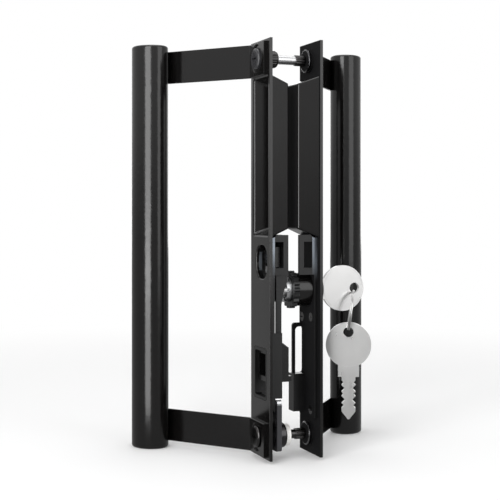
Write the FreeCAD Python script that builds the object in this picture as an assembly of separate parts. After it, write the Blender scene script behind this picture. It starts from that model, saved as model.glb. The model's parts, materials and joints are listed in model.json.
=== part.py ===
import FreeCAD, Part
import math
import os

os.makedirs("parts", exist_ok=True)
V = FreeCAD.Vector

# Sizes of the two plates and the door between them, in millimetres
door_thickness = 29.5
plate_height = 240.0
plate_width = 30.0
plate_thickness = 1.8
plate_edge_round = 0.35
edge_notch_depth = 2.8
edge_notch_ends = (45.6, 73.2)
edge_notch_round = 2.4

# Finger pocket: margins of its mouth in the plate, and how far each side draws in down to its floor
pocket_depth = 12.0
pocket_wall = 1.5
pocket_sides = (1.8, 3.6)
pocket_below_top = 20.6
pocket_above_chassis = 0.3
pocket_draft = (3.4, 3.8, 4.7, 4.4)
pocket_corner_round = 1.5
pocket_rim_round = 1.3

# Grip bars: oval tube standing on the floor, its long axis turned outwards
bar_overhang = 1.7
bar_half_long = 11.7
bar_half_short = 10.0
bar_wall = 3.2
bar_out = 51.0
bar_behind_plate = 43.6
turn_degrees = 38.5
cap_thickness = 2.4
cap_round = 1.6
cap_ring_inset = 2.6
cap_ring_groove = 0.5
spigot_length = 6.0
spigot_wall = 1.8
spigot_play = 0.05

# Arms: flat strip with a foot on the plate, its other end let into the back of the bar
arm_height = 19.4
arm_thickness = 1.8
arm_inset = 1.2
arm_foot_before_bolt = 11.6
arm_seat_offset = 8.13
arm_past_bar = 1.0
arm_bend_round = 1.5
arm_edge_round = 0.3
seat_play = 0.05

# The two long screws that pull the handles together through the door
bolt_off_centre = 1.5
bolt_low_z = 11.4
bolt_below_top = 10.4
bolt_shank = 5.3
bolt_thread = 5.85
bolt_thread_length = 9.7
bolt_tip_inside = 0.3
bolt_point = 0.6
bolt_head_diameter = 12.5
bolt_head_height = 2.4
bolt_head_round = 1.4
bolt_recess = 3.4
bolt_recess_width = 1.2
bolt_recess_depth = 1.7
bolt_hole = 6.4
dish_diameter = 15.6
dish_depth = 1.0
dish_bevel = 0.6

# Sleeves, washer and lug on the long screws, inner side
sleeve_upper_diameter = 9.6
sleeve_upper_length = 8.9
sleeve_lower_diameter = 14.6
sleeve_lower_length = 13.3
sleeve_bore = 6.0
sleeve_round = 1.2
washer_diameter = 12.7
washer_thickness = 2.5
lug_front = 3.8
lug_thickness = 2.9
lug_sides = (2.4, 3.0)
lug_ends = (4.5, 34.0)
lug_corner = 2.0
lug_neck_width = 6.6
lug_neck_start = 27.0
lug_play = 0.05

# Threaded posts riveted into the outer plate and foot
post_diameter = 11.0
post_height = 3.0
post_flange_diameter = 13.6
post_flange_thickness = 0.8
post_rivet = 8.0
post_bore = 6.0
post_bore_past_plate = 0.3
rivet_play = 0.05

# Keys: flat blade cut on both edges, round bow with a hole and an engraved rim
key_thickness = 2.2
key_bow_radius = 13.5
key_hole_offset = 7.5
key_hole_radius = 3.05
key_blade_width = 8.2
key_shoulder_step = 2.15
key_shoulder_reach = 19.0
key_tip_width = 1.0
key_tip_length = 4.6
key_notch_pitch = 3.4
key_notch_depths = (0.9, 1.5, 0.8, 1.7, 1.1)
key_notch_half = 0.35
key_groove_width = 1.3
key_groove_depth = 0.5
key_groove_offset = 1.7
key_rim_inset = 0.8
key_rim_width = 0.35
key_rim_depth = 0.15
slot_play = 0.1

# Split ring
ring_radius = 11.35
ring_wire = 0.9
ring_play = 0.15
ring_tilt_degrees = 7.5
ring_heading_degrees = 25.5

# Key cylinder in the outer handle, built up round the blade of the key
lock_z = 96.0
plug_web = 2.4
plug_play = 0.06
body_wall = 3.2
body_end_wall = 1.5
body_head_lip = 1.5
body_head = 1.0
shoulder_play = 0.85
trim_lip = 3.1
trim_thickness = 1.0
trim_round = 0.5
lock_ring_wall = 1.3
lock_ring_floor = 0.6
lock_ring_cover = 2.6
lock_ring_step = 0.5
lock_ring_tooth_depth = 1.1
lock_ring_tooth_count = 18
spindle_web = 0.7
spindle_end = 4.2
spindle_floor = 1.9
nut_gap = 0.2
nut_length = 3.1
nut_wall = 2.4
nut_slot_count = 6
nut_slot_depth = 1.4
nut_slot_width = 2.2
wafer_count = 4
wafer_thickness = 1.0
wafer_side_web = 2.8
wafer_end_gap = 0.4
wafer_play = 0.1
cam_floor = 2.0
cam_grip = 2.8
cam_wall = 2.2
cam_arm_length = 2.4
cam_arm_width = 5.0

# Lock chassis, one casting behind each plate, its sides set out from the cylinder
chassis_base = 1.9
chassis_sides = (1.1, 1.5)
chassis_ends = (22.0, 126.4)
chassis_wall = 1.7
upper_wall_start = 105.0
upper_wall_height = 11.4
upper_wall_slope = ((2.6, 0.0), (4.2, 1.6))
sight_window = (3.2, 8.4, 109.0, 124.0)
lip_height = 3.0
lower_wall_end = 72.0
lower_wall_height = 7.6
lower_wall_slope = ((0.0, 36.0), (3.0, 27.0), (3.4, 27.0), (3.4, 34.6), (7.6, 34.6))
far_wall_thickness = 2.0
far_wall_height = 10.6
far_wall_start = 30.0
back_wall_depth = 3.0
back_wall_start = 107.6
far_upper_start = 100.0
chassis_notch_depth = 4.4
chassis_fit = 0.2

# Thumb opening and finger window in the inner plate, each with a ledge of the chassis inside it
thumb_sides = (0.1, 4.7)
thumb_ends = (102.8, 122.0)
thumb_round = 7.5
thumb_ledge = (2.3, 0.0, 0.2, 0.2)
thumb_ledge_round = 6.5
thumb_rim_round = 0.8
window_sides = (-0.1, 1.0)
window_ends = (33.4, 63.2)
window_round = 3.0
window_ledge = (2.2, 2.0, 1.8, 2.0)
window_ledge_round = 1.5

# Latch slide with its finger cup, and the lever it carries
slide_play = 0.3
cup_ends = (43.6, 67.0)
cup_depth = 12.6
cup_wall = 1.6
cup_bottom = 2.9
cup_cavity_top = 61.0
cup_front = 0.2
cup_behind_base = 0.25
cup_top_slope = (5.1, 3.8)
cup_mouth_round = 1.0
tongue_length = 2.7
tongue_inset = 2.4
lever_thickness = 1.7
lever_outline = ((4.7, 64.0), (7.9, 64.0), (7.9, 88.0), (9.2, 95.0), (11.4, 101.0), (11.6, 105.4),
                 (10.0, 107.0), (4.7, 107.0))
lever_nose_start = 80.0
lever_nose_round = 1.2
stop_pin_diameter = 2.4
stop_pin_places = ((3.3, 34.2), (6.2, 34.2))
stop_pin_reach = 10.2

# Snib slide behind the thumb opening
snib_depths = (4.8, 8.0)
snib_ends = (109.6, 121.0)
snib_side_play = (0.4, 1.3)
snib_pad_front = 2.3
snib_pad_sides = (0.4, 5.3)
snib_pad_ends = (111.4, 119.2)
snib_pad_round = 1.6
snib_rib_count = 3
snib_rib = 0.5

# Leaf springs between the far wall and the edge of each slide
spring_bow = 1.0
spring_thickness = 0.25
spring_width = 2.8
snib_spring_half = 8.0
snib_spring_middle = 113.5
latch_spring_half = 9.0
latch_spring_middle = 51.0
latch_spring_front = 4.0

# Small countersunk screws that hold each chassis on its plate: inset from a side, and height
case_screw_low = (5.8, 26.0)
case_screw_near = (5.4, 80.0)
case_screw_far = (3.8, 79.2)
case_screw_diameter = 3.0
case_screw_head = 5.2
case_screw_head_height = 1.1
case_screw_depth = 1.3
case_screw_slot_depth = 0.7
case_screw_slot_width = 0.7

# Outer keeper: hook box, leg and bridge cast in one
keeper_depth = 7.0
keeper_sides = (7.7, 0.2)
keeper_ends = (24.0, 46.0)
keeper_leg_inset = 1.7
keeper_leg_thickness = 1.9
keeper_leg_sides = (1.8, 0.4)
keeper_above_notch = 2.3
keeper_bridge = 2.4
keeper_inner_round = 2.2
keeper_outer_round = 1.8

# Values worked out from the sizes above
beyond = 1.0
turn = math.radians(turn_degrees)
along = V(-math.sin(turn), math.cos(turn), 0)
behind = V(math.cos(turn), math.sin(turn), 0)
bar_centre = V(-bar_out, plate_width + bar_behind_plate, 0)
bar_length = plate_height + 2 * bar_overhang
half_depth = math.hypot(bar_half_long * math.cos(turn), bar_half_short * math.sin(turn))
total_depth = bar_centre.y + half_depth
face = -plate_thickness
foot_face = face - arm_thickness
outer_face = door_thickness + plate_thickness
bolt_y = plate_width / 2 + bolt_off_centre
bolt_high_z = plate_height - bolt_below_top
foot_start = bolt_y - arm_foot_before_bolt
bolt_tip = outer_face - bolt_tip_inside
bolt_shank_end = bolt_tip - bolt_thread_length
bolt_places = (bolt_low_z, bolt_high_z)

key_shoulder_width = key_blade_width + 2 * key_shoulder_step
bow_x = outer_face + key_shoulder_reach
tip_x = spindle_end + spindle_floor
key_tip_reach = bow_x - tip_x

lock_y = plate_width / 2
plug_diameter = key_blade_width + 2 * plug_web
spindle_diameter = key_blade_width + 2 * spindle_web
body_diameter = plug_diameter + 2 * body_wall
body_inner_end = outer_face - wafer_count * key_notch_pitch - body_end_wall
trim_end = outer_face + trim_thickness

chassis_near = lock_y - body_diameter / 2 - chassis_sides[0]
chassis_far = lock_y + body_diameter / 2 + chassis_sides[1]
chassis_edges = (chassis_near, chassis_far)
near_wall = (chassis_near, chassis_near + chassis_wall)
far_wall = (chassis_far - far_wall_thickness, chassis_far)
case_screw_places = ((chassis_near + case_screw_low[0], case_screw_low[1]),
                     (chassis_far - case_screw_far[0], case_screw_far[1]),
                     (chassis_near + case_screw_near[0], case_screw_near[1]))

pocket_mouth = (pocket_sides[0], plate_width - pocket_sides[1],
                chassis_ends[1] + pocket_above_chassis, plate_height - pocket_below_top)
thumb_opening = (chassis_near + thumb_sides[0], chassis_far - thumb_sides[1]) + thumb_ends
window_in_plate = (chassis_near + window_sides[0], chassis_far - window_sides[1]) + window_ends


def inset(edges, steps):
    return (edges[0] + steps[0], edges[1] - steps[1], edges[2] + steps[2], edges[3] - steps[3])


thumb_in_chassis = inset(thumb_opening, thumb_ledge)
window_in_chassis = inset(window_in_plate, window_ledge)
cup_edges = (window_in_chassis[0] + slide_play, window_in_chassis[1] - slide_play)
lever_edges = (near_wall[1] + chassis_fit, near_wall[1] + chassis_fit + lever_thickness)


# Helpers
def box(x, y, z):
    return Part.makeBox(x[1] - x[0], y[1] - y[0], z[1] - z[0], V(x[0], y[0], z[0]))


def rod(x, y, z, diameter):
    return Part.makeCylinder(diameter / 2, x[1] - x[0], V(x[0], y, z), V(1, 0, 0))


def sheet(points, start, thickness):
    wire = Part.makePolygon(points + [points[0]])
    return Part.Face(wire).extrude(start * thickness)


def lengthwise_edges(solid, axis):
    found = []
    for edge in solid.Edges:
        run = edge.Vertexes[-1].Point - edge.Vertexes[0].Point
        if run.Length > 0.01 and abs(abs(run.normalize().dot(axis)) - 1) < 0.001:
            found.append(edge)
    return found


def edge_through(solid, axis, place):
    def meets(edge):
        offset = edge.Vertexes[0].Point - place
        return (offset - axis * offset.dot(axis)).Length < 0.01
    return [edge for edge in lengthwise_edges(solid, axis) if meets(edge)]


def edges_on(solid, axis, value, limits=None):
    found = []
    for edge in solid.Edges:
        low = edge.BoundBox
        start = (low.XMin, low.YMin, low.ZMin)[axis]
        end = (low.XMax, low.YMax, low.ZMax)[axis]
        if abs(start - value) > 0.01 or abs(end - value) > 0.01:
            continue
        middle = low.Center
        if limits is None or (limits[0] <= middle.y <= limits[1] and limits[2] <= middle.z <= limits[3]):
            found.append(edge)
    return found


def rounded_box(x, y, z, radius):
    solid = box(x, y, z)
    return solid.makeFillet(radius, lengthwise_edges(solid, V(1, 0, 0)))


def opening(x, edges, radius):
    return rounded_box(x, (edges[0], edges[1]), (edges[2], edges[3]), radius)


def rectangle(x, y0, y1, z0, z1):
    return Part.makePolygon([V(x, y0, z0), V(x, y1, z0), V(x, y1, z1), V(x, y0, z1), V(x, y0, z0)])


def side_outline(points, y0, y1):
    return sheet([V(x, y0, z) for x, z in points], V(0, 1, 0), y1 - y0)


def to_outer(solid):
    return solid.mirror(V(door_thickness / 2, 0, 0), V(1, 0, 0))


def save(name, solid):
    placed = solid.copy()
    placed.translate(V(-door_thickness / 2, -total_depth / 2, bar_overhang))
    placed.exportStep("parts/" + name + ".step")


# Plate with its drafted finger pocket, made as one casting
def drafted(grow, start, end):
    def at(x):
        steps = [step * x / pocket_depth + grow for step in pocket_draft]
        return rectangle(x, *inset(pocket_mouth, steps))
    solid = Part.makeLoft([at(start), at(end)], True, True)
    mouth = [edge.hashCode() for edge in edges_on(solid, 0, start)]
    rounded = [edge for edge in solid.Edges if edge.hashCode() not in mouth]
    return solid.makeFillet(pocket_corner_round, rounded)


def plate_blank():
    blank = box((face, 0), (0, plate_width), (0, plate_height))
    blank = blank.makeFillet(plate_edge_round, edges_on(blank, 0, face))
    blank = blank.fuse(drafted(0, 0, pocket_depth))
    blank = blank.cut(drafted(pocket_wall, face, pocket_depth - pocket_wall)).removeSplitter()
    return blank.makeFillet(pocket_rim_round, edges_on(blank, 0, face, pocket_mouth))


through_plate = (face - beyond, beyond)


def with_case_holes(solid):
    for y, z in case_screw_places:
        hole = rod((-case_screw_depth, beyond), y, z, case_screw_diameter + 2 * rivet_play)
        solid = solid.cut(hole)
    return solid


def edge_notch(depths, start):
    past_edge = plate_width + 2 * edge_notch_round
    return rounded_box(depths, (start, past_edge), edge_notch_ends, edge_notch_round)


plate = plate_blank()
inner_plate = plate
for z in bolt_places:
    inner_plate = inner_plate.cut(rod(through_plate, bolt_y, z, bolt_hole))
inner_plate = inner_plate.cut(opening(through_plate, thumb_opening, thumb_round))
inner_plate = inner_plate.makeFillet(thumb_rim_round, edges_on(inner_plate, 0, face, thumb_opening))
inner_plate = inner_plate.cut(opening(through_plate, window_in_plate, window_round))
save("inner_plate", with_case_holes(inner_plate))

outer_plate = plate
for z in bolt_places:
    outer_plate = outer_plate.cut(rod(through_plate, bolt_y, z, post_rivet + 2 * rivet_play))
outer_plate = outer_plate.cut(rod(through_plate, lock_y, lock_z, body_diameter + chassis_fit))
outer_plate = outer_plate.cut(edge_notch(through_plate, plate_width - edge_notch_depth))
save("outer_plate", to_outer(with_case_holes(outer_plate)))


# Arm: one bent strip
def arm_blank(z0):
    def on_line(offset, reach):
        return bar_centre + behind * offset + along * reach
    def meet(offset, x):
        point = bar_centre + behind * offset
        return point + along * ((x - point.x) / along.x)
    front = arm_seat_offset
    back = arm_seat_offset + arm_thickness
    near_bend = meet(front, foot_face)
    far_bend = meet(back, face)
    points = [V(foot_face, foot_start, 0), near_bend, on_line(front, arm_past_bar),
              on_line(back, arm_past_bar), far_bend, V(face, foot_start, 0)]
    strip = sheet(points, V(0, 0, 1), arm_height)
    strip.translate(V(0, 0, z0))
    strip = strip.makeFillet(arm_bend_round, edge_through(strip, V(0, 0, 1), near_bend))
    strip = strip.makeFillet(arm_bend_round + arm_thickness, edge_through(strip, V(0, 0, 1), far_bend))
    return strip.makeFillet(arm_edge_round, edges_on(strip, 2, z0) + edges_on(strip, 2, z0 + arm_height))


arm_low_z = arm_inset
arm_high_z = plate_height - arm_inset - arm_height
low_strip = arm_blank(arm_low_z)
high_strip = arm_blank(arm_high_z)
through_foot = (foot_face - beyond, beyond)


def dished_foot(strip, z):
    dish = rod((foot_face - beyond, foot_face + dish_depth), bolt_y, z, dish_diameter)
    start = V(foot_face, bolt_y, z)
    bevel = Part.makeCone(dish_diameter / 2 + dish_bevel, dish_diameter / 2, dish_bevel, start, V(1, 0, 0))
    return strip.cut(dish).cut(bevel).cut(rod(through_foot, bolt_y, z, bolt_hole))


def riveted_foot(strip, z):
    return strip.cut(rod(through_foot, bolt_y, z, post_rivet + 2 * rivet_play))


save("inner_arm_lower", dished_foot(low_strip, bolt_low_z))
save("inner_arm_upper", dished_foot(high_strip, bolt_high_z))
save("outer_arm_lower", to_outer(riveted_foot(low_strip, bolt_low_z)))
save("outer_arm_upper", to_outer(riveted_foot(high_strip, bolt_high_z)))


# Grip bar with its caps
def oval_prism(step_in, z0, z1):
    curve = Part.Ellipse(V(0, 0, 0), bar_half_long - step_in, bar_half_short - step_in)
    solid = Part.Face(Part.Wire(curve.toShape())).extrude(V(0, 0, z1 - z0))
    solid.rotate(V(0, 0, 0), V(0, 0, 1), 90 + turn_degrees)
    solid.translate(bar_centre + V(0, 0, z0))
    return solid


def seat(z0):
    front = arm_seat_offset - seat_play
    past = arm_past_bar + seat_play
    open_back = bar_half_short + beyond
    open_side = -bar_half_long - beyond
    corners = [(front, open_side), (front, past), (open_back, past), (open_back, open_side)]
    low = V(0, 0, z0 - seat_play)
    points = [bar_centre + behind * offset + along * reach + low for offset, reach in corners]
    return sheet(points, V(0, 0, 1), arm_height + 2 * seat_play)


bar_start = -bar_overhang
tube_start = bar_start + cap_thickness
tube_end = bar_start + bar_length - cap_thickness
tube = oval_prism(0, tube_start, tube_end).cut(oval_prism(bar_wall, bar_start, bar_start + bar_length))
for z in (arm_low_z, arm_high_z):
    tube = tube.cut(seat(z))


def cap():
    disc = oval_prism(0, bar_start, tube_start)
    disc = disc.makeFillet(cap_round, edges_on(disc, 2, bar_start))
    groove = oval_prism(cap_ring_inset, bar_start - beyond, bar_start + cap_ring_groove)
    island = oval_prism(cap_ring_inset + cap_ring_groove, bar_start - beyond, bar_start + cap_ring_groove)
    disc = disc.cut(groove.cut(island))
    spigot_inset = bar_wall + spigot_play
    spigot = oval_prism(spigot_inset, tube_start, tube_start + spigot_length)
    core = oval_prism(spigot_inset + spigot_wall, tube_start, tube_start + spigot_length + beyond)
    return disc.fuse(spigot.cut(core)).removeSplitter()


cap_bottom = cap()
cap_top = cap_bottom.mirror(V(0, 0, plate_height / 2), V(0, 0, 1))
save("inner_bar", tube)
save("inner_bar_cap_bottom", cap_bottom)
save("inner_bar_cap_top", cap_top)
save("outer_bar", to_outer(tube))
save("outer_bar_cap_bottom", to_outer(cap_bottom))
save("outer_bar_cap_top", to_outer(cap_top))


# Long screws with low heads in the dished feet
def long_screw(z):
    head_seat = foot_face + dish_depth
    head_top = head_seat - bolt_head_height
    head = rod((head_top, head_seat), bolt_y, z, bolt_head_diameter)
    head = head.makeFillet(bolt_head_round, edges_on(head, 0, head_top))
    shank = rod((head_seat, bolt_shank_end), bolt_y, z, bolt_shank)
    thread = rod((bolt_shank_end, bolt_tip), bolt_y, z, bolt_thread)
    thread = thread.makeChamfer(bolt_point, edges_on(thread, 0, bolt_tip))
    screw = head.fuse([shank, thread]).removeSplitter()
    recess = (head_top - beyond, head_top + bolt_recess_depth)
    for across_y, across_z in ((bolt_recess, bolt_recess_width / 2), (bolt_recess_width / 2, bolt_recess)):
        screw = screw.cut(box(recess, (bolt_y - across_y, bolt_y + across_y), (z - across_z, z + across_z)))
    return screw


save("screw_upper", long_screw(bolt_high_z))
save("screw_lower", long_screw(bolt_low_z))


# Sleeves, nylon washer and lug on the screws
def sleeve(length, diameter, z):
    solid = rod((0, length), bolt_y, z, diameter)
    solid = solid.makeFillet(sleeve_round, edges_on(solid, 0, length))
    return solid.cut(rod((-beyond, length + beyond), bolt_y, z, sleeve_bore))


save("inner_post_upper", sleeve(sleeve_upper_length, sleeve_upper_diameter, bolt_high_z))
save("inner_post_lower", sleeve(sleeve_lower_length, sleeve_lower_diameter, bolt_low_z))
washer_span = (sleeve_lower_length, sleeve_lower_length + washer_thickness)
washer = rod(washer_span, bolt_y, bolt_low_z, washer_diameter)
save("nylon_washer", washer.cut(rod(washer_span, bolt_y, bolt_low_z, sleeve_bore)))

lug_span = (lug_front, lug_front + lug_thickness)
lug = rounded_box(lug_span, (lug_sides[0], plate_width - lug_sides[1]), lug_ends, lug_corner)
neck_side = (lug_sides[0] + lug_neck_width, plate_width)
lug = lug.cut(box(lug_span, neck_side, (lug_neck_start, lug_ends[1] + beyond)))
lug = lug.cut(rod(lug_span, bolt_y, bolt_low_z, sleeve_lower_diameter + 2 * lug_play))
save("lower_lug", lug)


# Threaded posts riveted through the outer plate and foot
def threaded_post(z):
    solid = rod((0, post_height), bolt_y, z, post_diameter)
    solid = solid.fuse(rod((0, post_flange_thickness), bolt_y, z, post_flange_diameter))
    solid = solid.fuse(rod((foot_face, 0), bolt_y, z, post_rivet)).removeSplitter()
    return solid.cut(rod((face - post_bore_past_plate, post_height + beyond), bolt_y, z, post_bore))


save("outer_boss_upper", to_outer(threaded_post(bolt_high_z)))
save("outer_boss_lower", to_outer(threaded_post(bolt_low_z)))

# Lock chassis: base, walls and ledges cast in one
through_chassis = (-beyond, chassis_base + beyond)


def screw_cone(y, z, play):
    start = V(chassis_base - case_screw_head_height, y, z)
    narrow = case_screw_diameter / 2 + play
    return Part.makeCone(narrow, case_screw_head / 2 + play, case_screw_head_height, start, V(1, 0, 0))


def with_countersinks(solid):
    for y, z in case_screw_places:
        solid = solid.cut(rod(through_chassis, y, z, case_screw_diameter + 2 * rivet_play))
        solid = solid.cut(screw_cone(y, z, rivet_play))
    return solid


def upper_wall(start, edges):
    top = [(x, chassis_ends[1] + rise) for x, rise in upper_wall_slope]
    points = [(0.0, start), (0.0, chassis_ends[1])] + top
    points += [(upper_wall_height, top[-1][1]), (upper_wall_height, start)]
    return side_outline(points, edges[0], edges[1])


def chassis_common():
    base = box((0, chassis_base), chassis_edges, chassis_ends)
    sight = box(sight_window[:2], (0, plate_width), sight_window[2:])
    return base.fuse(upper_wall(upper_wall_start, near_wall).cut(sight))


low_points = list(lower_wall_slope) + [(lower_wall_height, lower_wall_end), (0.0, lower_wall_end)]
low_wall = side_outline(low_points, near_wall[0], near_wall[1])
lip = box((0, lip_height), near_wall, (lower_wall_end, upper_wall_start))
far_low = box((0, far_wall_height), far_wall, (far_wall_start, lower_wall_end))
far_high = upper_wall(far_upper_start, far_wall)
back_depths = (upper_wall_height - back_wall_depth, upper_wall_height)
back = box(back_depths, chassis_edges, (back_wall_start, chassis_ends[1] + upper_wall_slope[-1][1]))
frame_edges = inset(window_in_plate, (chassis_fit, chassis_fit, chassis_fit, chassis_fit))
frame = opening((face, 0), frame_edges, window_round)
inner_chassis = chassis_common().fuse([back, lip, low_wall, far_low, far_high, frame])
through_frame = (face - beyond, chassis_base + beyond)
inner_chassis = inner_chassis.cut(opening(through_frame, window_in_chassis, window_ledge_round))
inner_chassis = inner_chassis.cut(opening(through_chassis, thumb_in_chassis, thumb_ledge_round))


def stop_pin(x, z, play):
    start = V(x, chassis_far - stop_pin_reach, z)
    return Part.makeCylinder(stop_pin_diameter / 2 + play, stop_pin_reach, start, V(0, 1, 0))


for x, z in stop_pin_places:
    inner_chassis = inner_chassis.cut(stop_pin(x, z, rivet_play))
save("inner_chassis", with_countersinks(inner_chassis).removeSplitter())
save("stop_pins", Part.makeCompound([stop_pin(x, z, 0) for x, z in stop_pin_places]))

outer_chassis = chassis_common().cut(rod(through_chassis, lock_y, lock_z, body_diameter + chassis_fit))
outer_chassis = outer_chassis.cut(edge_notch(through_chassis, chassis_far - chassis_notch_depth))
save("outer_chassis", to_outer(with_countersinks(outer_chassis).removeSplitter()))


# Case screws with slotted countersunk heads
def case_screw(y, z):
    solid = screw_cone(y, z, 0)
    shank = (-case_screw_depth, chassis_base - case_screw_head_height)
    solid = solid.fuse(rod(shank, y, z, case_screw_diameter))
    half = case_screw_slot_width / 2
    slot = box((chassis_base - case_screw_slot_depth, chassis_base + beyond),
               (y - case_screw_head, y + case_screw_head), (z - half, z + half))
    return solid.cut(slot)


case_screws = Part.makeCompound([case_screw(y, z) for y, z in case_screw_places])
save("inner_case_screws", case_screws)
save("outer_case_screws", to_outer(case_screws))


# Bowed leaf springs that rub on the far edge of each slide
def leaf_spring(front, middle, half):
    radius = (half ** 2 + spring_bow ** 2) / (2 * spring_bow)
    centre = V(front, far_wall[0] - spring_bow + radius, middle)
    outside = Part.makeCylinder(radius, spring_width, centre, V(1, 0, 0))
    inside = Part.makeCylinder(radius - spring_thickness, spring_width, centre, V(1, 0, 0))
    reach = box((front, front + spring_width), (far_wall[0] - 2 * spring_bow, far_wall[0]),
                (middle - half, middle + half))
    return outside.cut(inside).common(reach)


save("snib_spring", leaf_spring(snib_depths[0] + chassis_fit, snib_spring_middle, snib_spring_half))
save("latch_spring", leaf_spring(latch_spring_front, latch_spring_middle, latch_spring_half))

# Lever carried by the latch slide
lever = side_outline(lever_outline, lever_edges[0], lever_edges[1])
nose = [edge for edge in lengthwise_edges(lever, V(0, 1, 0)) if edge.Vertexes[0].Z > lever_nose_start]
save("lock_lever", lever.makeFillet(lever_nose_round, nose))

# Latch slide with the finger cup
slide_back = chassis_base + cup_behind_base
slide = box((slide_back, cup_depth), cup_edges, cup_ends)
slope = [(cup_depth - cup_top_slope[0], cup_ends[1]), (cup_depth, cup_ends[1] - cup_top_slope[1]),
         (cup_depth, cup_ends[1])]
slide = slide.cut(side_outline(slope, 0, plate_width))
front_ends = (cup_ends[0], window_in_chassis[3] - chassis_fit)
slide = slide.fuse(rounded_box((cup_front, slide_back), cup_edges, front_ends, window_ledge_round))
tongue_edges = (cup_edges[0] + tongue_inset, cup_edges[1] - tongue_inset)
floor_ends = (cup_ends[0], cup_ends[0] + cup_bottom)
slide = slide.fuse(box((cup_depth - cup_wall, cup_depth + tongue_length), tongue_edges, floor_ends))
slide = slide.removeSplitter()
cavity_floor = cup_depth - cup_wall
cavity = box((cup_front - beyond, cavity_floor), (cup_edges[0] + cup_wall, cup_edges[1] - cup_wall),
             (cup_ends[0] + cup_bottom, cup_cavity_top - cup_wall))
deep_edges = [edge for edge in cavity.Edges if edge.BoundBox.XMax > cavity_floor - 0.01]
slide = slide.cut(cavity.makeFillet(cup_mouth_round, deep_edges))
lever_seat = box((lever_outline[0][0] - lug_play, lever_outline[1][0] + lug_play),
                 (0, lever_edges[1] + lug_play), (lever_outline[0][1], cup_ends[1] + beyond))
save("latch_slide", slide.cut(lever_seat))

# Snib slide with a ribbed thumb pad
snib_edges = (lever_edges[1] + snib_side_play[0], far_wall[0] - snib_side_play[1])
pad_edges = (snib_edges[0] + snib_pad_sides[0], snib_edges[1] - snib_pad_sides[1])
snib = box(snib_depths, snib_edges, snib_ends)
pad = rounded_box((snib_pad_front, snib_depths[0]), pad_edges, snib_pad_ends, snib_pad_round)
rib_pitch = (snib_pad_ends[1] - snib_pad_ends[0]) / (snib_rib_count + 1)
for step in range(snib_rib_count):
    middle = snib_pad_ends[0] + rib_pitch * (step + 1)
    groove = box((snib_pad_front - beyond, snib_pad_front + snib_rib), (0, plate_width),
                 (middle - snib_rib, middle + snib_rib))
    pad = pad.cut(groove)
save("snib_slide", snib.fuse(pad).removeSplitter())


# Key, drawn with its blade along minus X from the middle of the bow
def key_disc(radius, y0, y1):
    return Part.makeCylinder(radius, y1 - y0, V(0, y0, 0), V(0, 1, 0))


def key_blank():
    low, high = -key_thickness / 2, key_thickness / 2
    half = key_blade_width / 2
    tip = key_tip_width / 2
    bow = key_disc(key_bow_radius, low, high)
    shoulder = box((-key_shoulder_reach, 0), (low, high), (-key_shoulder_width / 2, key_shoulder_width / 2))
    root = -key_shoulder_reach + beyond
    taper = -key_tip_reach + key_tip_length
    outline = [(root, -half), (root, half), (taper, half), (-key_tip_reach, tip), (-key_tip_reach, -tip),
               (taper, -half)]
    blade = side_outline(outline, low, high)
    for count, depth in enumerate(key_notch_depths, 1):
        place = -key_shoulder_reach - key_notch_pitch * count
        for side in (1, -1):
            bottom = side * (half - depth)
            notch = [(place - key_notch_half - depth, side * half), (place - key_notch_half, bottom),
                     (place + key_notch_half, bottom), (place + key_notch_half + depth, side * half)]
            blade = blade.cut(side_outline(notch, low, high))
    for side in (1, -1):
        middle = side * key_groove_offset
        edges = (middle - key_groove_width / 2, middle + key_groove_width / 2)
        for face_y in (low, high):
            depths = (face_y - key_groove_depth, face_y + key_groove_depth)
            blade = blade.cut(box((-key_tip_reach, -key_shoulder_reach), depths, edges))
    solid = bow.fuse([shoulder, blade]).removeSplitter()
    rim_radius = key_bow_radius - key_rim_inset
    for face_y in (low, high):
        rim = key_disc(rim_radius, face_y - key_rim_depth, face_y + key_rim_depth)
        core = key_disc(rim_radius - key_rim_width, face_y - key_rim_depth, face_y + key_rim_depth)
        solid = solid.cut(rim.cut(core))
    hole = key_disc(key_hole_radius, low, high)
    hole.translate(V(key_hole_offset, 0, 0))
    return solid.cut(hole)


key = key_blank()
key_in_lock = key.copy()
key_in_lock.translate(V(bow_x, lock_y, lock_z))
save("key_in_lock", key_in_lock)

# Split ring through the hole of the key, tilted as it hangs
heading = math.radians(ring_heading_degrees)
wire_run = V(math.sin(heading), math.cos(heading), 0)
sideways = V(math.cos(heading), -math.sin(heading), 0)
wire_in_key = V(bow_x + key_hole_offset, lock_y, lock_z - key_hole_radius + ring_wire + ring_play)
ring = Part.makeTorus(ring_radius, ring_wire, wire_in_key - V(0, 0, ring_radius), sideways)
ring.rotate(wire_in_key, wire_run, ring_tilt_degrees)
save("key_ring", ring)

# Spare key hanging from the ring
tilt = math.radians(ring_tilt_degrees)
across = 2 * ring_radius
wire_low = wire_in_key - sideways * (across * math.sin(tilt)) - V(0, 0, across * math.cos(tilt))
spare_hole = wire_low + V(0, 0, ring_wire + ring_play - key_hole_radius)
spare = key.copy()
spare.translate(V(-key_hole_offset, 0, 0))
spare.rotate(V(0, 0, 0), V(0, 1, 0), -90)
spare.rotate(V(0, 0, 0), V(0, 0, 1), -ring_heading_degrees)
spare.translate(spare_hole)
save("spare_key", spare)


# Cylinder body, trim ring and toothed lock ring, all on the lock's axis
def lock_rod(start, end, diameter):
    return rod((start, end), lock_y, lock_z, diameter)


shoulder_recess = key_shoulder_width + 2 * shoulder_play
head_end = trim_end + body_head
body = lock_rod(body_inner_end, trim_end, body_diameter)
body = body.fuse(lock_rod(trim_end, head_end, body_diameter + 2 * body_head_lip)).removeSplitter()
body = body.cut(lock_rod(body_inner_end - beyond, outer_face + beyond, plug_diameter))
save("cylinder_body", body.cut(lock_rod(outer_face, head_end + beyond, shoulder_recess)))

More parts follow.
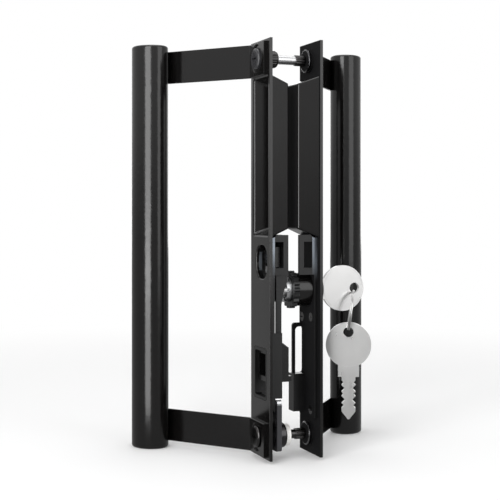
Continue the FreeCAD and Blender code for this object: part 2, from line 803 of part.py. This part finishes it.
trim = lock_rod(outer_face, trim_end, body_diameter + 2 * trim_lip)
trim = trim.makeFillet(trim_round, edges_on(trim, 0, trim_end))
save("cylinder_trim_ring", trim.cut(lock_rod(outer_face, trim_end, body_diameter + chassis_fit)))


def toothed(start, end):
    points = []
    steps = lock_ring_tooth_count * 4
    for step in range(steps):
        angle = 2 * math.pi * step / steps
        depth = lock_ring_tooth_depth if step % 4 in (1, 2) else 0
        radius = body_diameter / 2 + lock_ring_wall - depth
        points.append(V(start, lock_y + radius * math.cos(angle), lock_z + radius * math.sin(angle)))
    return sheet(points, V(1, 0, 0), end - start)


lock_ring_start = body_inner_end - lock_ring_floor
lock_ring_end = body_inner_end + lock_ring_cover
lock_ring = toothed(lock_ring_start, lock_ring_end)
lock_ring = lock_ring.cut(lock_rod(body_inner_end, lock_ring_end, body_diameter + 2 * rivet_play))
lock_ring = lock_ring.cut(lock_rod(lock_ring_start, lock_ring_end, plug_diameter - 2 * lock_ring_step))
save("cylinder_lock_ring", lock_ring)

# Plug and spindle in one, with the key slot and the rooms of the wafers
slot_y = (lock_y - key_thickness / 2 - slot_play, lock_y + key_thickness / 2 + slot_play)
slot_half = key_blade_width / 2 + slot_play
slot_z = (lock_z - slot_half, lock_z + slot_half)
plug_start = body_inner_end + plug_play
plug = lock_rod(plug_start, outer_face, plug_diameter - 2 * plug_play)
plug = plug.fuse(lock_rod(spindle_end, plug_start, spindle_diameter)).removeSplitter()
plug = plug.cut(box((tip_x - slot_play, outer_face + beyond), slot_y, slot_z))
wafers = []
wafer_half = plug_diameter / 2 - wafer_side_web
for count in range(1, wafer_count + 1):
    middle = outer_face - key_notch_pitch * count
    ends = (middle - wafer_thickness / 2, middle + wafer_thickness / 2)
    room = box((ends[0] - wafer_play, ends[1] + wafer_play),
               (lock_y - wafer_half - wafer_play, lock_y + wafer_half + wafer_play),
               (lock_z - plug_diameter, lock_z + plug_diameter))
    plug = plug.cut(room)
    tall = plug_diameter / 2 - wafer_end_gap
    wafer = box(ends, (lock_y - wafer_half, lock_y + wafer_half), (lock_z - tall, lock_z + tall))
    wafer = wafer.common(lock_rod(ends[0], ends[1], plug_diameter - 4 * plug_play))
    wafers.append(wafer.cut(box(ends, slot_y, slot_z)))
save("cylinder_plug", plug)
save("wafers", Part.makeCompound(wafers))

# Slotted nut and cam on the spindle
nut_end = lock_ring_start - nut_gap
nut_start = nut_end - nut_length
nut_diameter = spindle_diameter + 2 * nut_wall
nut = lock_rod(nut_start, nut_end, nut_diameter)
for step in range(nut_slot_count):
    slot = box((nut_start - beyond, nut_start + nut_slot_depth),
               (lock_y - nut_slot_width / 2, lock_y + nut_slot_width / 2), (lock_z, lock_z + nut_diameter))
    slot.rotate(V(0, lock_y, lock_z), V(1, 0, 0), 360 / nut_slot_count * (step + 0.5))
    nut = nut.cut(slot)
save("spindle_nut", nut.cut(lock_rod(nut_start, nut_end, spindle_diameter + 2 * plug_play)))

cam_ends = (spindle_end - cam_floor, spindle_end + cam_grip)
cam_radius = spindle_diameter / 2 + cam_wall
cam = lock_rod(cam_ends[0], cam_ends[1], 2 * cam_radius)
cam = cam.fuse(box(cam_ends, (lock_y, lock_y + cam_radius + cam_arm_length),
                   (lock_z - cam_arm_width / 2, lock_z + cam_arm_width / 2))).removeSplitter()
cam_bore = lock_rod(spindle_end - plug_play, cam_ends[1] + beyond, spindle_diameter + 2 * plug_play)
save("cam", cam.cut(cam_bore))

# Outer keeper: box, leg and bridge in one casting
keeper_back = door_thickness - chassis_base
keeper_front = keeper_back - keeper_depth
leg_front = keeper_front + keeper_leg_inset
leg_back = leg_front + keeper_leg_thickness
leg_edges = (chassis_far - keeper_leg_sides[0], chassis_far - keeper_leg_sides[1])
keeper_top = edge_notch_ends[1] + keeper_above_notch
bridge_z = keeper_top - keeper_bridge
keeper_edges = (chassis_far - keeper_sides[0], chassis_far - keeper_sides[1])
keeper = box((keeper_front, keeper_back), keeper_edges, keeper_ends)
leg = box((leg_front, leg_back), leg_edges, (keeper_ends[0], keeper_top))
bridge = box((leg_front, keeper_back), leg_edges, (bridge_z, keeper_top))
keeper = keeper.fuse([leg, bridge]).removeSplitter()
run = V(0, 1, 0)
keeper = keeper.makeFillet(keeper_inner_round, edge_through(keeper, run, V(leg_back, 0, bridge_z)))
keeper = keeper.makeFillet(keeper_outer_round, edge_through(keeper, run, V(leg_front, 0, keeper_top)))
save("outer_keeper", keeper)
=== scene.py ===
# %% [markdown]
# A sliding patio door handle set: two black enamelled handles, one for each side of the door,
# pulled together by two long screws, with the lock works, a key and a spare on a ring.
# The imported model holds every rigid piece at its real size. This script gives the pieces their
# finishes, adds the fine metalwork that is too small for the solids, and sets up the light.

# %% Load the frame
import json
import math

import bmesh
import bpy
from mathutils import Matrix, Vector


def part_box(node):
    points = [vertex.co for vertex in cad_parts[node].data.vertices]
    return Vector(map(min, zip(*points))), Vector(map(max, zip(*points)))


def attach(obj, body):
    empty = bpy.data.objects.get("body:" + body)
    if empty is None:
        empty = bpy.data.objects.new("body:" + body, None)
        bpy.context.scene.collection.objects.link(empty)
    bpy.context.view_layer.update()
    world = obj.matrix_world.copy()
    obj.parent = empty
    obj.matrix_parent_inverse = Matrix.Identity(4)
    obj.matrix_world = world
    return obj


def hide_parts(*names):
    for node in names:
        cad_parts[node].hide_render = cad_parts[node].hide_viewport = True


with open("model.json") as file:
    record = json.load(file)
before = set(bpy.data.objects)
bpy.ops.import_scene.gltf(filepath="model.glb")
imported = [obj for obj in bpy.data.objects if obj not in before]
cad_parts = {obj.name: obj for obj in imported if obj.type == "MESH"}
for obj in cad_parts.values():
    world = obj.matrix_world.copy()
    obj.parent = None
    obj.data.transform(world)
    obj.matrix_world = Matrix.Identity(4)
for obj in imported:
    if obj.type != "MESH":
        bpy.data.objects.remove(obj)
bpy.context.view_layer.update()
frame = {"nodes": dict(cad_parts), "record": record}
nodes = frame["nodes"]
MM = 0.001

# %% [markdown]
# Shader maths is easier to read as plain sums. A node tree can be built by hand, node by node,
# but then the formula is lost among the links. Here one small class wraps a socket, so that an
# expression such as 1 - mask adds its own Math node.

# %% Shader values
class Value:
    def __init__(self, owner, socket):
        self.owner = owner
        self.socket = socket

    def join(self, operation, first, second):
        return self.owner.add("ShaderNodeMath", {"operation": operation}, {0: first, 1: second})

    def __add__(self, other):
        return self.join("ADD", self, other)

    def __radd__(self, other):
        return self.join("ADD", other, self)

    def __sub__(self, other):
        return self.join("SUBTRACT", self, other)

    def __rsub__(self, other):
        return self.join("SUBTRACT", other, self)

    def __mul__(self, other):
        return self.join("MULTIPLY", self, other)

    def __rmul__(self, other):
        return self.join("MULTIPLY", other, self)


print("shader values ready")

# %% [markdown]
# A finish and the sky are both trees of nodes, and they need the same few tools. One method makes
# every node that isn't a sum: it sets the node up, then fills its sockets with numbers or links.
# Two more are often needed: a soft step, and how far a point or a normal lies along an axis.

# %% Trees of nodes
class Tree:
    def __init__(self, tree):
        self.tree = tree

    def feed(self, socket, value):
        if isinstance(value, Value):
            self.tree.links.new(value.socket, socket)
        else:
            socket.default_value = value

    def add(self, kind, settings, inputs, output=0):
        node = self.tree.nodes.new(kind)
        for name, setting in settings.items():
            setattr(node, name, setting)
        for name, value in inputs.items():
            self.feed(node.inputs[name], value)
        return Value(self, node.outputs[output])

    def smooth(self, value, start, end):
        settings = {"interpolation_type": "SMOOTHSTEP"}
        return self.add("ShaderNodeMapRange", settings, {"Value": value, "From Min": start, "From Max": end})

    def along(self, output, axis):
        point = self.add("ShaderNodeTexCoord", {}, {}, output)
        settings = {"operation": "DOT_PRODUCT"}
        return self.add("ShaderNodeVectorMath", settings, {0: point, 1: axis}, "Value")


print("tree helper ready")

# %% [markdown]
# A finish is a material whose tree starts from the Principled shader. Noise stands for all the
# unevenness of coats and metals, because it needs no picture and works on any shape. A mask mixes
# two numbers, two colours or, with cover, a whole second coat over the first.

# %% Finishes
class Finish(Tree):
    def __init__(self, name):
        self.name = name
        self.material = bpy.data.materials.new(name)
        self.material.use_nodes = True
        super().__init__(self.material.node_tree)
        self.shader = self.tree.nodes["Principled BSDF"]

    def set(self, **inputs):
        for name, value in inputs.items():
            self.feed(self.shader.inputs[name.replace("_", " ")], value)

    def place(self, stretch=(1.0, 1.0, 1.0)):
        point = self.add("ShaderNodeTexCoord", {}, {}, "Object")
        return self.add("ShaderNodeMapping", {}, {"Vector": point, "Scale": stretch})

    def noise(self, scale, detail=3.0, stretch=(1.0, 1.0, 1.0)):
        where = self.place(stretch)
        return self.add("ShaderNodeTexNoise", {}, {"Vector": where, "Scale": scale, "Detail": detail}, "Fac")

    def between(self, mask, low, high):
        return self.add("ShaderNodeMapRange", {}, {"Value": mask, "To Min": low, "To Max": high})

    def tint(self, mask, first, second):
        settings = {"data_type": "RGBA"}
        return self.add("ShaderNodeMix", settings, {"Factor": mask, 6: first, 7: second}, 2)

    def bump(self, height, strength, depth):
        return self.add("ShaderNodeBump", {}, {"Height": height, "Strength": strength, "Distance": depth})

    def cover(self, mask, **inputs):
        settings = {name.replace("_", " "): value for name, value in inputs.items()}
        coat = self.add("ShaderNodeBsdfPrincipled", {}, settings)
        base = Value(self, self.shader.outputs[0])
        whole = self.add("ShaderNodeMixShader", {}, {0: mask, 1: base, 2: coat})
        self.feed(self.tree.nodes["Material Output"].inputs["Surface"], whole)


finishes = {}


def keep(finish):
    finishes[finish.name] = finish.material
    print("finish:", finish.name)


print("finish helper ready")

# %% [markdown]
# The plates, arms and bars are steel and zinc under black stove enamel. Real enamel is a smooth
# dark coat with a faint orange peel, and a thin film of dust makes it a touch brown. A plain black
# gloss looks like plastic, so a slow noise varies the roughness and a fine one lifts the surface.

# %% Black enamel
DUST_SCALE = 38.0
GLOSS_SCALE = 90.0
PEEL_SCALE = 900.0
PEEL_DEPTH = 0.08 * MM


def black_coat(name, dark, pale, rough, peel):
    finish = Finish(name)
    dust = finish.noise(DUST_SCALE, 5.0)
    finish.set(Base_Color=finish.tint(dust, dark, pale))
    finish.set(Roughness=finish.between(finish.noise(GLOSS_SCALE, 4.0), *rough))
    finish.set(Normal=finish.bump(finish.noise(PEEL_SCALE, 2.0), peel, PEEL_DEPTH))
    return finish


ENAMEL_DARK = (0.0022, 0.0020, 0.0020, 1.0)
ENAMEL_PALE = (0.0042, 0.0037, 0.0036, 1.0)
ENAMEL_ROUGH = (0.13, 0.19)
ENAMEL_PEEL = 0.10
keep(black_coat("black_enamel", ENAMEL_DARK, ENAMEL_PALE, ENAMEL_ROUGH, ENAMEL_PEEL))

# %% [markdown]
# The lock works sit on zinc castings with a thinner, duller black. They are cast and then
# painted, so the surface is slightly grainy: the same recipe with more roughness and more grain.

# %% Black casting and moulded slides
CASTING_DARK = (0.0025, 0.0025, 0.0027, 1.0)
CASTING_PALE = (0.006, 0.006, 0.0065, 1.0)
CASTING_ROUGH = (0.30, 0.42)
CASTING_GRAIN = 0.3
keep(black_coat("black_casting", CASTING_DARK, CASTING_PALE, CASTING_ROUGH, CASTING_GRAIN))
keep(black_coat("black_plastic", CASTING_DARK, ENAMEL_DARK, (0.22, 0.30), 0.06))

# %% [markdown]
# The faces of the outer handle that look straight across the door gap read as near black, and that darkness
# is painted shade.
# A darker base colour would not do it, because what shows is the room's reflection. So a dull coat
# without gloss is mixed in where the surface faces the gap, as painted shade.

# %% Painted shade on the faces towards the door gap
ACROSS_THE_GAP = (-1.0, 0.0, 0.0)
FACING = (0.90, 0.97)


def painted_shade_to_the_gap(finish):
    # Painted shade: faces towards the gap get a dull, near black coat.
    gap_shade = finish.smooth(finish.along("Normal", ACROSS_THE_GAP), *FACING)
    finish.cover(gap_shade, Base_Color=CASTING_PALE, Roughness=0.8, Specular_IOR_Level=0.12)
    return finish


keep(painted_shade_to_the_gap(black_coat("outer_enamel", ENAMEL_DARK, ENAMEL_PALE, ENAMEL_ROUGH, ENAMEL_PEEL)))
keep(painted_shade_to_the_gap(black_coat("boss_black", CASTING_DARK, CASTING_PALE, CASTING_ROUGH, CASTING_GRAIN)))

# %% [markdown]
# Both castings show a thin bright edge just below the pocket, blue-grey at the top and fading
# downwards: a painted highlight standing in for the reflection on the front lip. It is zinc mixed in by
# height, only on the strip of the front face that is next to the plate, so the fade needs no extra piece.

# %% Painted highlight on the front lips of the castings
LIP_HIGHLIGHT_FADE = (102.0 * MM, 124.0 * MM)
LIP_HIGHLIGHT_SIDE = (11.5 * MM, 11.8 * MM)
LIP_HIGHLIGHT_ZINC = (0.28, 0.31, 0.35, 1.0)
FRONT = (0.0, -1.0, 0.0)
UP = (0.0, 0.0, 1.0)


def casting_with_lip_highlight(name, outward):
    finish = black_coat(name, CASTING_DARK, CASTING_PALE, CASTING_ROUGH, CASTING_GRAIN)
    front = finish.smooth(finish.along("Normal", FRONT), *FACING)
    height = finish.smooth(finish.along("Object", UP), *LIP_HIGHLIGHT_FADE)
    side = finish.smooth(finish.along("Object", outward), *LIP_HIGHLIGHT_SIDE)
    # Painted highlight: zinc faded in by height on the front lip.
    bare_and_highlight = front * height * side
    finish.set(Base_Color=finish.tint(bare_and_highlight, CASTING_DARK, LIP_HIGHLIGHT_ZINC), Metallic=bare_and_highlight)
    return finish


keep(casting_with_lip_highlight("inner_casting", (-1.0, 0.0, 0.0)))
keep(painted_shade_to_the_gap(casting_with_lip_highlight("outer_casting", (1.0, 0.0, 0.0))))

# %% [markdown]
# Screws, pins and the lever are zinc plated steel: bright, slightly blue, with fine marks from
# rolling or turning. Noise stretched along one axis gives those marks without any picture.

# %% Bare metals
STREAK_SCALE = 260.0
STREAK_SHARE = 0.6
STAIN_SCALE = 55.0
MARK_DEPTH = 0.03 * MM
ROUND_TURNED = (6.0, 1.0, 1.0)
LONG_ROLLED = (1.0, 1.0, 0.15)


def bare_metal(name, colours, rough, stretch, marks):
    finish = Finish(name)
    streaks = finish.noise(STREAK_SCALE, 4.0, stretch)
    stains = finish.noise(STAIN_SCALE, 4.0)
    wear = streaks * STREAK_SHARE + stains * (1 - STREAK_SHARE)
    finish.set(Base_Color=finish.tint(stains, *colours), Metallic=1.0)
    finish.set(Roughness=finish.between(wear, *rough))
    finish.set(Normal=finish.bump(streaks, marks, MARK_DEPTH))
    return finish


ZINC = ((0.50, 0.51, 0.53, 1.0), (0.66, 0.66, 0.66, 1.0))
DARK_STEEL = ((0.035, 0.035, 0.038, 1.0), (0.085, 0.082, 0.08, 1.0))
RIM_STEEL = ((0.10, 0.10, 0.11, 1.0), (0.18, 0.18, 0.18, 1.0))
NICKEL = ((0.62, 0.62, 0.62, 1.0), (0.74, 0.735, 0.725, 1.0))
BRASS = ((0.60, 0.44, 0.17, 1.0), (0.72, 0.55, 0.24, 1.0))
keep(bare_metal("zinc_steel", ZINC, (0.24, 0.40), ROUND_TURNED, 0.25))
keep(bare_metal("dark_steel", DARK_STEEL, (0.16, 0.28), ROUND_TURNED, 0.2))
keep(painted_shade_to_the_gap(bare_metal("rim_steel", RIM_STEEL, (0.18, 0.28), ROUND_TURNED, 0.2)))
keep(bare_metal("nickel", NICKEL, (0.22, 0.36), LONG_ROLLED, 0.2))
keep(bare_metal("brass", BRASS, (0.25, 0.38), LONG_ROLLED, 0.2))

# %% [markdown]
# Two pieces are part black and part bare. The upper screw is bright only along its shank, and the
# lug is bright only at its tip, where the black has been rubbed off. Cutting such a piece in two
# would give it a joint that isn't there. So a coat of black with a soft edge is laid over the bare
# metal by position along the piece, which keeps each piece whole.

# %% Pieces that are part black
PAINT_EDGE = 0.25 * MM
SHANK = (-16.55 * MM, 5.4 * MM)
LUG_TIP = (33.0 * MM, 60.0 * MM)


def part_black(name, axis, bare_and_highlight):
    finish = bare_metal(name, ZINC, (0.20, 0.34), ROUND_TURNED, 0.25)
    place = finish.along("Object", axis)
    before = 1 - finish.smooth(place, bare_and_highlight[0] - PAINT_EDGE, bare_and_highlight[0])
    beyond = finish.smooth(place, bare_and_highlight[1], bare_and_highlight[1] + PAINT_EDGE)
    finish.cover(before + beyond, Base_Color=DARK_STEEL[0], Roughness=0.2)
    keep(finish)


part_black("screw_bright_shank", (1.0, 0.0, 0.0), SHANK)
part_black("lug_bright_tip", UP, LUG_TIP)

# %% [markdown]
# The washer at the lower screw is white nylon. Nylon is softly glossy and lets a little light in,
# which a small subsurface weight gives.

# %% White nylon
NYLON = ((0.80, 0.79, 0.76, 1.0), (0.88, 0.87, 0.85, 1.0))
NYLON_ROUGH = (0.35, 0.5)
NYLON_DEPTH = 2 * MM


def white_nylon():
    finish = Finish("white_nylon")
    finish.set(Base_Color=finish.tint(finish.noise(70.0), *NYLON))
    finish.set(Roughness=finish.between(finish.noise(160.0), *NYLON_ROUGH))
    finish.set(Subsurface_Weight=0.1, Subsurface_Radius=(NYLON_DEPTH, NYLON_DEPTH, NYLON_DEPTH))
    return finish


keep(white_nylon())

# %% [markdown]
# Every piece of the frame takes the finish that the record names for it, so that one list
# decides what is enamel, what is casting and what is bare metal. A few pieces then take one of
# the special finishes above, which are the same coats with one place left bare, given a painted highlight or
# given painted shade.

# %% Dress the frame's own pieces
SPECIAL = {"inner_chassis": "inner_casting", "outer_chassis": "outer_casting",
           "outer_plate": "outer_enamel", "outer_boss_upper": "boss_black",
           "outer_boss_lower": "boss_black", "screw_upper": "screw_bright_shank",
           "lower_lug": "lug_bright_tip"}


def dress(piece, finish_name):
    piece.data.materials.clear()
    piece.data.materials.append(finishes[finish_name])


for part in frame["record"]["subparts"]:
    dress(nodes[part["node"]], SPECIAL.get(part["node"], part["material_slot"]))

# %% [markdown]
# The small metalwork below is all swept: one outline is repeated along a path, and its copies are
# joined by faces. A curve with a bevel could do it too, but writing the points gives full control
# of each section. A path that closes on itself needs no end faces, and an open one gets two.

# %% Sweep helpers
def mesh_piece(name, points, faces, slot_name, body):
    mesh = bpy.data.meshes.new(name)
    mesh.from_pydata(points, [], faces)
    shape = bmesh.new()
    shape.from_mesh(mesh)
    bmesh.ops.recalc_face_normals(shape, faces=shape.faces)
    shape.to_mesh(mesh)
    shape.free()
    piece = bpy.data.objects.new(name, mesh)
    bpy.context.collection.objects.link(piece)
    dress(piece, slot_name)
    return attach(piece, body)


def swept_faces(sections, count, closed=False):
    faces = []
    total = sections * count
    for i in range(sections if closed else sections - 1):
        for j in range(count):
            a = i * count + j
            b = i * count + (j + 1) % count
            faces.append((a, b, (b + count) % total, (a + count) % total))
    if not closed:
        faces.append(tuple(reversed(range(count))))
        faces.append(tuple(range(total - count, total)))
    return faces


def box_middle(node):
    low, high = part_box(node)
    return (low + high) / 2


print("sweep helpers ready")

# %% [markdown]
# The dark ends of the long screws, and the collar on the upper one, have fine straight ribs for
# the fingers. In the solids they are plain cylinders. A bump map would leave the outline smooth,
# so the ribs are real. Each rib has a flat top and the same width as the groove beside it, so four
# points of the outline make one rib. A slope at each end brings it down to its groove.

# %% Straight ribs
RIB_HEIGHT = 0.24 * MM
RIB_SLOPE = 0.35 * MM
SCREW_RIBS = 14
SCREW_ROOT = 2.95 * MM
COLLAR_RIBS = 22
COLLAR_MARGIN = 1.2 * MM


def ribs(name, middle, span, root, count):
    start, end = span
    sections = ((start, 0.0), (start + RIB_SLOPE, RIB_HEIGHT), (end - RIB_SLOPE, RIB_HEIGHT), (end, 0.0))
    points = []
    for x, height in sections:
        for i in range(4 * count):
            reach = root + height * (i % 4 in (1, 2))
            angle = math.pi * i / (2 * count)
            points.append((x, middle.y + reach * math.cos(angle), middle.z + reach * math.sin(angle)))
    return mesh_piece(name, points, swept_faces(len(sections), 4 * count), "dark_steel", "handle")


def screw_ribs(name, screw, boss):
    span = (SHANK[1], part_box(boss)[0].x)
    return ribs(name, box_middle(screw), span, SCREW_ROOT, SCREW_RIBS)


def collar_ribs(name, collar):
    low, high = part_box(collar)
    span = (low.x + COLLAR_MARGIN, high.x - COLLAR_MARGIN)
    return ribs(name, box_middle(collar), span, (high.z - low.z) / 2, COLLAR_RIBS)


ribbed = [screw_ribs("screw_ribs_upper", "screw_upper", "outer_boss_upper"),
          screw_ribs("screw_ribs_lower", "screw_lower", "outer_boss_lower"),
          collar_ribs("collar_ribs", "inner_post_upper")]
print("ribbed pieces:", [piece.name for piece in ribbed])

# %% [markdown]
# Each post of the outer plate has a rounded rim that stands a little in front of its flange and
# catches a thin light crescent. A disc would hide the end of the post, so one closed profile is
# spun round it instead. The profile's points are millimetres behind the front end of the post,
# and in from the edge of its flange.

# %% Rims of the outer posts
RIM_SIDES = 64
RIM_PROFILE = ((0.05, 1.4), (0.15, 0.7), (0.35, 0.3), (0.65, 0.0), (1.05, 0.0), (1.35, 0.25), (1.35, 1.4))


def post_rim(name, boss):
    low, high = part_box(boss)
    middle = box_middle(boss)
    flange = (high.z - low.z) / 2
    points = []
    for i in range(RIM_SIDES):
        turn = 2 * math.pi * i / RIM_SIDES
        for behind, inside in RIM_PROFILE:
            reach = flange - inside * MM
            y = middle.y + reach * math.cos(turn)
            z = middle.z + reach * math.sin(turn)
            points.append((low.x + behind * MM, y, z))
    faces = swept_faces(RIM_SIDES, len(RIM_PROFILE), closed=True)
    rim = mesh_piece(name, points, faces, "dark_steel", "handle")
    dress(rim, "rim_steel")
    return rim


rims = [post_rim("post_rim_upper", "outer_boss_upper"), post_rim("post_rim_lower", "outer_boss_lower")]
print("rims:", [rim.name for rim in rims])

# %% [markdown]
# The key ring is a split ring: two turns of flattened spring wire pressed flat against each
# other. In the solids it is one plain ring. A groove cut round that ring would look closed, so
# here the two turns are one wire, swept round nearly twice in the place and tilt of the plain
# ring. It stays on one side for half its length and then crosses quickly to the other.

# %% Split ring
RING_HEADING = math.radians(25.5)
RING_TILT = math.radians(7.5)
RING_RADIUS = 11.35 * MM
RING_TURNS = 1.93
RING_START = math.radians(115.0)
RING_STEPS = 180
CROSSOVER = 14.0
WIRE_HIGH = 0.80 * MM
WIRE_WIDE = 0.46 * MM
WIRE_PLAY = 0.95
WIRE_SIDES = 10


def split_ring():
    centre = box_middle("key_ring")
    run = Vector((math.sin(RING_HEADING), math.cos(RING_HEADING), 0))
    side = Vector((math.cos(RING_HEADING), -math.sin(RING_HEADING), 0))
    tilt = Matrix.Rotation(RING_TILT, 3, run)
    across = tilt @ side
    up = tilt @ Vector((0, 0, 1))
    points = []
    for i in range(RING_STEPS + 1):
        share = i / RING_STEPS
        angle = 2 * math.pi * RING_TURNS * share + RING_START
        outward = run * math.cos(angle) + up * math.sin(angle)
        aside = across * WIRE_WIDE * math.tanh((share - 0.5) * CROSSOVER)
        middle = centre + outward * RING_RADIUS + aside
        for k in range(WIRE_SIDES):
            turn = 2 * math.pi * k / WIRE_SIDES
            high = outward * WIRE_HIGH * math.sin(turn)
            wide = across * WIRE_WIDE * WIRE_PLAY * math.cos(turn)
            points.append(middle + high + wide)
    return mesh_piece("split_ring", points, swept_faces(RING_STEPS + 1, WIRE_SIDES), "nickel", "ring")


ring = split_ring()
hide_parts("key_ring")
for polygon in ring.data.polygons:
    polygon.use_smooth = True
print("split ring faces:", len(ring.data.polygons))

# %% [markdown]
# Gloss black is seen by what it mirrors. In a room that is white all round it turns grey, so the
# camera sees white while reflections see a dimmer room. Both the floor and the world need the
# same choice by kind of ray, so it is made in one place.

# %% White for the camera, dim for reflections
ROOM_LIGHT = 0.55
PURE_WHITE = (1.0, 1.0, 1.0, 1.0)


def ray(tree, kind):
    return tree.add("ShaderNodeLightPath", {}, {}, kind)


def brightness(tree, mirrored):
    white = ray(tree, "Is Camera Ray") + ray(tree, "Is Transmission Ray")
    dim = ray(tree, "Is Glossy Ray") * (mirrored - ROOM_LIGHT) + ROOM_LIGHT
    return white + (1 - white) * dim


print("ray helper ready")

# %% [markdown]
# The left bar mirrors the tall lamp as a bright stripe, and in the photograph the stripe runs on
# down to the foot of the bar, where a plain floor would be mirrored instead. So the floor glows
# in reflections, in one wedge that starts beside the bar and opens towards the lamp. The compass
# heading of each point, seen from the bar, says whether it lies in the wedge.

# %% Stripe in the mirrored floor
STRIPE_GLOW = 4.6
STRIPE_TURN = math.radians(-136.0)
STRIPE_EDGE = math.cos(math.radians(17.0))
STRIPE_CORE = math.cos(math.radians(13.0))
STRIPE_START = (0.09, 0.13)
BAR_TO_MIDDLE = (0.07, -0.02, 0.0)


def vector_maths(finish, operation, inputs, output="Value"):
    return finish.add("ShaderNodeVectorMath", {"operation": operation}, inputs, output)


def stripe(finish):
    from_bar = finish.add("ShaderNodeMapping", {}, {"Vector": finish.place(), "Location": BAR_TO_MIDDLE})
    heading = vector_maths(finish, "NORMALIZE", {0: from_bar}, "Vector")
    towards = (math.sin(STRIPE_TURN), math.cos(STRIPE_TURN), 0.0)
    aim = vector_maths(finish, "DOT_PRODUCT", {0: heading, 1: towards})
    away = vector_maths(finish, "LENGTH", {0: from_bar})
    inside = finish.smooth(aim, STRIPE_EDGE, STRIPE_CORE) * finish.smooth(away, *STRIPE_START)
    return inside * STRIPE_GLOW


print("stripe towards", round(math.degrees(STRIPE_TURN)), "degrees")

# %% [markdown]
# The photograph has a white floor that runs into a white backdrop, with a soft grey shadow near
# the handle. A plane ends in a visible horizon, and a curved sheet would show its bend from other
# sides. So the floor is a plain white one near the object, and turns into an even glow further out.

# %% Floor
FLOOR_SIZE = 6.0
FLOOR_WHITE = (0.86, 0.86, 0.86, 1.0)
FLOOR_GLOW = 0.08
FLOOR_MIRRORED = 0.36
NEAR_EDGE = 0.26
FAR_EDGE = 0.75


def glow(tree, strength):
    return tree.add("ShaderNodeEmission", {}, {"Color": PURE_WHITE, "Strength": strength})


def floor_finish():
    finish = Finish("floor_white")
    finish.set(Base_Color=FLOOR_WHITE, Roughness=0.7, Specular_IOR_Level=0.2)
    lift = glow(finish, ray(finish, "Is Camera Ray") * FLOOR_GLOW)
    solid = Value(finish, finish.shader.outputs[0])
    near = finish.add("ShaderNodeAddShader", {}, {0: solid, 1: lift})
    far = glow(finish, brightness(finish, FLOOR_MIRRORED))
    blend = finish.smooth(vector_maths(finish, "LENGTH", {0: finish.place()}), NEAR_EDGE, FAR_EDGE)
    seen = finish.add("ShaderNodeMixShader", {}, {0: blend, 1: near, 2: far})
    mirrored = glow(finish, stripe(finish) + FLOOR_MIRRORED)
    whole = finish.add("ShaderNodeMixShader", {}, {0: ray(finish, "Is Glossy Ray"), 1: seen, 2: mirrored})
    finish.feed(finish.tree.nodes["Material Output"].inputs["Surface"], whole)
    return finish.material


bpy.ops.mesh.primitive_plane_add(size=FLOOR_SIZE, location=(0, 0, 0))
floor = bpy.context.object
floor.name = "floor"
floor.data.materials.append(floor_finish())
print("floor laid")

# %% [markdown]
# The room that the enamel mirrors is dim below the horizon and brighter above it, with one white
# backdrop behind the object, as in a studio. An even room would flatten the upright faces, which
# in the photograph fade from grey at the top to near black at the foot.

# %% World
BACKDROP_TURN = math.radians(32.0)
BACKDROP_EDGE = math.cos(math.radians(34.0))
BACKDROP_CORE = math.cos(math.radians(24.0))
BACKDROP_GLOW = 2.2
ROOM_LOW = 0.33
ROOM_HIGH = 0.74
HORIZON = (-0.02, 0.08)
world = bpy.data.worlds.new("studio")
bpy.context.scene.world = world
world.use_nodes = True
studio = Tree(world.node_tree)
towards_backdrop = (math.sin(BACKDROP_TURN), math.cos(BACKDROP_TURN), 0.0)
backdrop = studio.smooth(studio.along("Generated", towards_backdrop), BACKDROP_EDGE, BACKDROP_CORE)
above = studio.smooth(studio.along("Generated", UP), *HORIZON)
room = above * (ROOM_HIGH - ROOM_LOW) + ROOM_LOW
strength = brightness(studio, room + backdrop * (BACKDROP_GLOW - room))
sky = studio.add("ShaderNodeBackground", {}, {"Color": PURE_WHITE, "Strength": strength})
studio.feed(world.node_tree.nodes["World Output"].inputs["Surface"], sky)
print("world set, backdrop towards", [round(value, 2) for value in towards_backdrop])

# %% [markdown]
# The bars show long soft highlights. Spot lamps would leave short ones, so the light comes from
# tall soft boxes: a strong one to the left of the camera, and a wider and dimmer one to its right.
# A third, from straight above, lights the plates' top edges.

# %% Lights
AIM = Vector((0.0, 0.0, 0.12))


def soft_box(name, place, width, height, watts):
    data = bpy.data.lights.new(name, "AREA")
    data.shape = "RECTANGLE"
    data.size = width
    data.size_y = height
    data.energy = watts
    lamp = bpy.data.objects.new(name, data)
    bpy.context.collection.objects.link(lamp)
    lamp.location = place
    lamp.rotation_euler = (AIM - lamp.location).to_track_quat("-Z", "Y").to_euler()


def around(turn_degrees, distance, height):
    turn = math.radians(turn_degrees)
    return Vector((distance * math.sin(turn), distance * math.cos(turn), height))


soft_box("left_box", around(-133, 1.2, 0.35), width=0.66, height=1.5, watts=15.0)
soft_box("right_box", around(149, 1.3, 0.4), width=0.84, height=1.4, watts=5.6)
soft_box("top_box", around(0, 0.1, 1.6), width=1.2, height=1.2, watts=8.0)

# %% [markdown]
# The camera stands in front and to the left, level, a little above the middle of the handle.
# Tilting it down would make the bars lean in the picture, and they stand upright in the
# photograph. So it stays level and its picture is shifted down.

# %% Camera
CAMERA_PLACE = (-0.25665, -0.64794, 0.14584)
CAMERA_TURN = math.radians(20.649)
CAMERA_LENS = 83.02
CAMERA_SENSOR = 36.0
CAMERA_SHIFT = -0.0865
camera_data = bpy.data.cameras.new("camera")
camera_data.lens = CAMERA_LENS
camera_data.sensor_width = CAMERA_SENSOR
camera_data.shift_y = CAMERA_SHIFT
camera = bpy.data.objects.new("camera", camera_data)
bpy.context.collection.objects.link(camera)
camera.location = CAMERA_PLACE
camera.rotation_euler = (math.radians(90), 0, -CAMERA_TURN)
bpy.context.scene.camera = camera
bpy.context.scene.view_settings.view_transform = "Standard"
print("camera at", tuple(round(v, 3) for v in camera.location))
